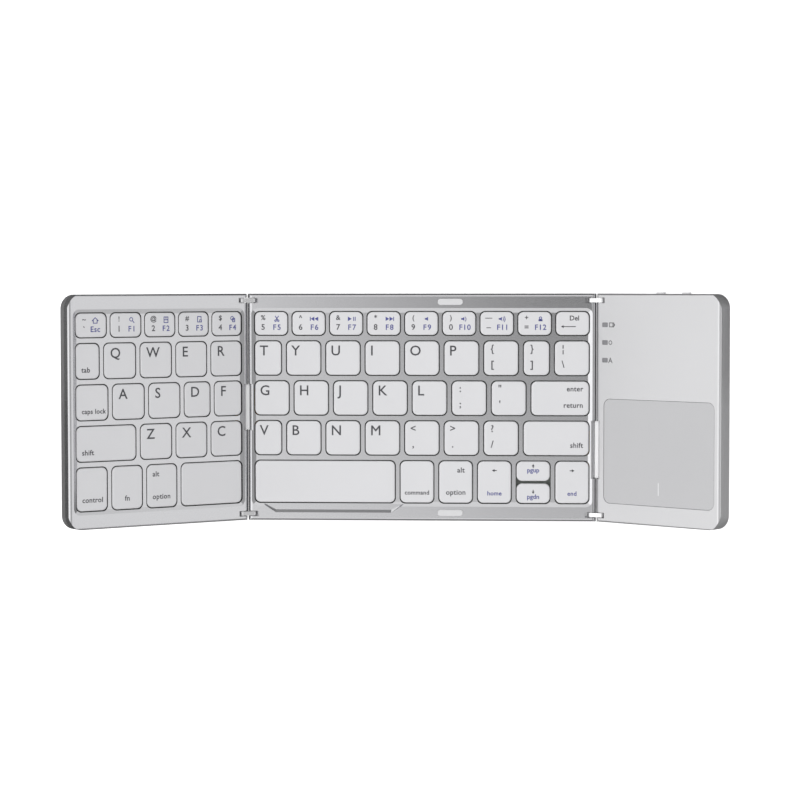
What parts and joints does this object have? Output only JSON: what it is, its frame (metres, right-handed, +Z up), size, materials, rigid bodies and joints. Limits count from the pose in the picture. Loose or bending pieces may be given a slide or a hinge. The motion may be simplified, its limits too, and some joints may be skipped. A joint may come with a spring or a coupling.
{
  "type": "folding keyboard",
  "caption": "Tri-fold pocket keyboard: key panels and a touchpad panel joined by double-pin link hinges, with scissor keys, a power slide switch, a pairing button and a charging socket.",
  "frame": {"origin": "centre of the middle panel's footprint, on the plane that its feet stand on", "axes": "+X to the right along the rows of keys, +Y to the rear, +Z up"},
  "size_m": [0.2805, 0.0999, 0.0602],
  "materials": {
    "silver_shell": "fine satin silver",
    "silver_frame": "fine satin silver",
    "key_cap": "matte pale grey",
    "touchpad_face": "fine matte grey",
    "hinge_metal": "satin",
    "steel": "plain steel",
    "magnet": "nickel-plated magnet",
    "membrane": "translucent film",
    "dome_rubber": "soft silicone",
    "scissor_plastic": "moulded plastic",
    "bumper_rubber": "pale soft rubber",
    "foot_rubber": "dark rubber",
    "board": "green circuit board",
    "cable_film": "amber cable film",
    "battery_pouch": "foil pouch",
    "lens": "smoked light guide"
  },
  "bodies": {
    "middle_panel": {"middle_back_cover": "silver_shell", "middle_top_frame": "silver_frame", "middle_key_plate": "steel", "middle_membrane": "membrane", "middle_rubber_domes": "dome_rubber", "middle_scissor_links": "scissor_plastic", "middle_stabiliser_wires": "steel", "fold_bumpers": "bumper_rubber", "middle_magnets": "magnet", "middle_feet": "foot_rubber", "middle_screws": "steel", "left_flat_cable": "cable_film", "right_flat_cable": "cable_film"},
    "left_panel": {"left_back_cover": "silver_shell", "left_top_frame": "silver_frame", "left_key_plate": "steel", "left_membrane": "membrane", "left_rubber_domes": "dome_rubber", "left_scissor_links": "scissor_plastic", "left_stabiliser_wires": "steel", "left_magnets": "magnet", "left_feet": "foot_rubber", "left_screws": "steel"},
    "right_panel": {"right_back_cover": "silver_shell", "right_top_cover": "silver_frame", "touchpad": "touchpad_face", "touchpad_board": "board", "main_board": "board", "touchpad_ribbon": "cable_film", "battery": "battery_pouch", "charging_socket": "steel", "power_switch_body": "steel", "indicator_lenses": "lens", "right_magnets": "magnet", "right_feet": "foot_rubber", "right_screws": "steel"},
    "power_switch_knob": {"power_switch_knob": "silver_shell"},
    "pairing_button": {"pairing_button": "silver_shell"},
    "left_hinge": {"left_hinge_links": "hinge_metal", "left_hinge_pins": "steel", "left_cable_cover": "hinge_metal"},
    "right_hinge": {"right_hinge_links": "hinge_metal", "right_hinge_pins": "steel", "right_cable_cover": "hinge_metal"},
    "left_key_row_1": {"left_key_row_1": "key_cap"},
    "left_key_row_2": {"left_key_row_2": "key_cap"},
    "left_key_row_3": {"left_key_row_3": "key_cap"},
    "left_key_row_4": {"left_key_row_4": "key_cap"},
    "left_key_row_5": {"left_key_row_5": "key_cap"},
    "left_space_key": {"left_space_key": "key_cap"},
    "middle_key_row_1": {"middle_key_row_1": "key_cap"},
    "middle_key_row_2": {"middle_key_row_2": "key_cap"},
    "middle_key_row_3": {"middle_key_row_3": "key_cap"},
    "middle_key_row_4": {"middle_key_row_4": "key_cap"},
    "middle_key_row_5": {"middle_key_row_5": "key_cap"},
    "space_bar": {"space_bar": "key_cap"},
    "enter_key": {"enter_key": "key_cap"},
    "right_shift_key": {"right_shift_key": "key_cap"},
    "up_arrow_key": {"up_arrow_key": "key_cap"},
    "down_arrow_key": {"down_arrow_key": "key_cap"}
  },
  "joints": [
    {"name": "left_hinge_inner", "type": "hinge", "parent": "middle_panel", "child": "left_hinge", "pos_m": [-0.074, 0, 0.00605], "axis": [0, 1, 0], "range_deg": [-18.65, 71.35], "deforming": ["left_flat_cable"]},
    {"name": "left_hinge_outer", "type": "hinge", "parent": "left_hinge", "child": "left_panel", "pos_m": [-0.07836, 0, 0.00752], "axis": [0, 1, 0], "range_deg": [-18.65, 71.35], "deforming": ["left_flat_cable"]},
    {"name": "right_hinge_inner", "type": "hinge", "parent": "middle_panel", "child": "right_hinge", "pos_m": [0.074, 0, 0.00605], "axis": [0, -1, 0], "range_deg": [-19, 71], "deforming": ["right_flat_cable"]},
    {"name": "right_hinge_outer", "type": "hinge", "parent": "right_hinge", "child": "right_panel", "pos_m": [0.07835, 0, 0.00755], "axis": [0, -1, 0], "range_deg": [-19, 71], "deforming": ["right_flat_cable"]},
    {"name": "left_key_row_1_press", "type": "slide", "parent": "left_panel", "child": "left_key_row_1", "axis": [-0.606, 0, -0.7955], "range_m": [0, 0.0016], "stiffness_N_per_m": 150, "springref_m": -0.0004, "deforming": ["left_rubber_domes", "left_scissor_links"]},
    {"name": "left_key_row_2_press", "type": "slide", "parent": "left_panel", "child": "left_key_row_2", "axis": [-0.606, 0, -0.7955], "range_m": [0, 0.0016], "stiffness_N_per_m": 150, "springref_m": -0.0004, "deforming": ["left_rubber_domes", "left_scissor_links"]},
    {"name": "left_key_row_3_press", "type": "slide", "parent": "left_panel", "child": "left_key_row_3", "axis": [-0.606, 0, -0.7955], "range_m": [0, 0.0016], "stiffness_N_per_m": 150, "springref_m": -0.0004, "deforming": ["left_rubber_domes", "left_scissor_links"]},
    {"name": "left_key_row_4_press", "type": "slide", "parent": "left_panel", "child": "left_key_row_4", "axis": [-0.606, 0, -0.7955], "range_m": [0, 0.0016], "stiffness_N_per_m": 150, "springref_m": -0.0004, "deforming": ["left_rubber_domes", "left_scissor_links", "left_stabiliser_wires"]},
    {"name": "left_key_row_5_press", "type": "slide", "parent": "left_panel", "child": "left_key_row_5", "axis": [-0.606, 0, -0.7955], "range_m": [0, 0.0016], "stiffness_N_per_m": 150, "springref_m": -0.0004, "deforming": ["left_rubber_domes", "left_scissor_links"]},
    {"name": "left_space_key_press", "type": "slide", "parent": "left_panel", "child": "left_space_key", "axis": [-0.606, 0, -0.7955], "range_m": [0, 0.0016], "stiffness_N_per_m": 150, "springref_m": -0.0004, "deforming": ["left_rubber_domes", "left_scissor_links", "left_stabiliser_wires"]},
    {"name": "middle_key_row_1_press", "type": "slide", "parent": "middle_panel", "child": "middle_key_row_1", "axis": [0, 0, -1], "range_m": [0, 0.0016], "stiffness_N_per_m": 150, "springref_m": -0.0004, "deforming": ["middle_rubber_domes", "middle_scissor_links"]},
    {"name": "middle_key_row_2_press", "type": "slide", "parent": "middle_panel", "child": "middle_key_row_2", "axis": [0, 0, -1], "range_m": [0, 0.0016], "stiffness_N_per_m": 150, "springref_m": -0.0004, "deforming": ["middle_rubber_domes", "middle_scissor_links"]},
    {"name": "middle_key_row_3_press", "type": "slide", "parent": "middle_panel", "child": "middle_key_row_3", "axis": [0, 0, -1], "range_m": [0, 0.0016], "stiffness_N_per_m": 150, "springref_m": -0.0004, "deforming": ["middle_rubber_domes", "middle_scissor_links"]},
    {"name": "middle_key_row_4_press", "type": "slide", "parent": "middle_panel", "child": "middle_key_row_4", "axis": [0, 0, -1], "range_m": [0, 0.0016], "stiffness_N_per_m": 150, "springref_m": -0.0004, "deforming": ["middle_rubber_domes", "middle_scissor_links"]},
    {"name": "middle_key_row_5_press", "type": "slide", "parent": "middle_panel", "child": "middle_key_row_5", "axis": [0, 0, -1], "range_m": [0, 0.0016], "stiffness_N_per_m": 150, "springref_m": -0.0004, "deforming": ["middle_rubber_domes", "middle_scissor_links"]},
    {"name": "space_bar_press", "type": "slide", "parent": "middle_panel", "child": "space_bar", "axis": [0, 0, -1], "range_m": [0, 0.0016], "stiffness_N_per_m": 150, "springref_m": -0.0004, "deforming": ["middle_rubber_domes", "middle_scissor_links", "middle_stabiliser_wires"]},
    {"name": "enter_key_press", "type": "slide", "parent": "middle_panel", "child": "enter_key", "axis": [0, 0, -1], "range_m": [0, 0.0016], "stiffness_N_per_m": 150, "springref_m": -0.0004, "deforming": ["middle_rubber_domes", "middle_scissor_links", "middle_stabiliser_wires"]},
    {"name": "right_shift_key_press", "type": "slide", "parent": "middle_panel", "child": "right_shift_key", "axis": [0, 0, -1], "range_m": [0, 0.0016], "stiffness_N_per_m": 150, "springref_m": -0.0004, "deforming": ["middle_rubber_domes", "middle_scissor_links", "middle_stabiliser_wires"]},
    {"name": "up_arrow_key_press", "type": "slide", "parent": "middle_panel", "child": "up_arrow_key", "axis": [0, 0, -1], "range_m": [0, 0.0016], "stiffness_N_per_m": 150, "springref_m": -0.0004, "deforming": ["middle_rubber_domes", "middle_scissor_links"]},
    {"name": "down_arrow_key_press", "type": "slide", "parent": "middle_panel", "child": "down_arrow_key", "axis": [0, 0, -1], "range_m": [0, 0.0016], "stiffness_N_per_m": 150, "springref_m": -0.0004, "deforming": ["middle_rubber_domes", "middle_scissor_links"]},
    {"name": "power_switch_slide", "type": "slide", "parent": "right_panel", "child": "power_switch_knob", "axis": [0.788, 0, 0.6157], "range_m": [0, 0.002]},
    {"name": "pairing_button_press", "type": "slide", "parent": "right_panel", "child": "pairing_button", "axis": [0, -1, 0], "range_m": [0, 0.0003], "stiffness_N_per_m": 800, "springref_m": -0.0003}
  ],
  "couplings": [
    {"joint": "left_hinge_inner", "follows": "left_hinge_outer", "ratio": 1},
    {"joint": "right_hinge_inner", "follows": "right_hinge_outer", "ratio": 1}
  ]
}
